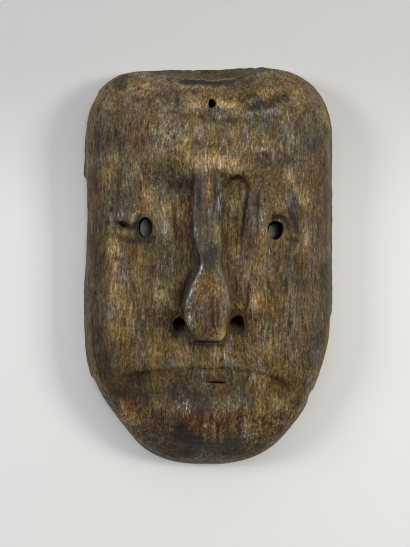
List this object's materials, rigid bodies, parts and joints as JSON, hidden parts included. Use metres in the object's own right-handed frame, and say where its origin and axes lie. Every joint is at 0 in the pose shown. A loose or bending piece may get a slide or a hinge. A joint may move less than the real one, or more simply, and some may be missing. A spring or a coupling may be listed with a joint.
{
  "type": "carved wooden face mask",
  "caption": "Carved wooden face mask with a long nose, round eye holes, drooping mouth ledge and hollow back, lying face up on its rim.",
  "frame": {"origin": "middle of the footprint, on the surface that the rim rests on", "axes": "+X to the right of the face as it is looked at, +Y towards the crown, +Z out of the face"},
  "size_m": [0.138, 0.22, 0.0499],
  "materials": {
    "wood": "hand-rubbed, worn dark patina"
  },
  "bodies": {
    "root": {"mask": "wood"}
  },
  "joints": []
}
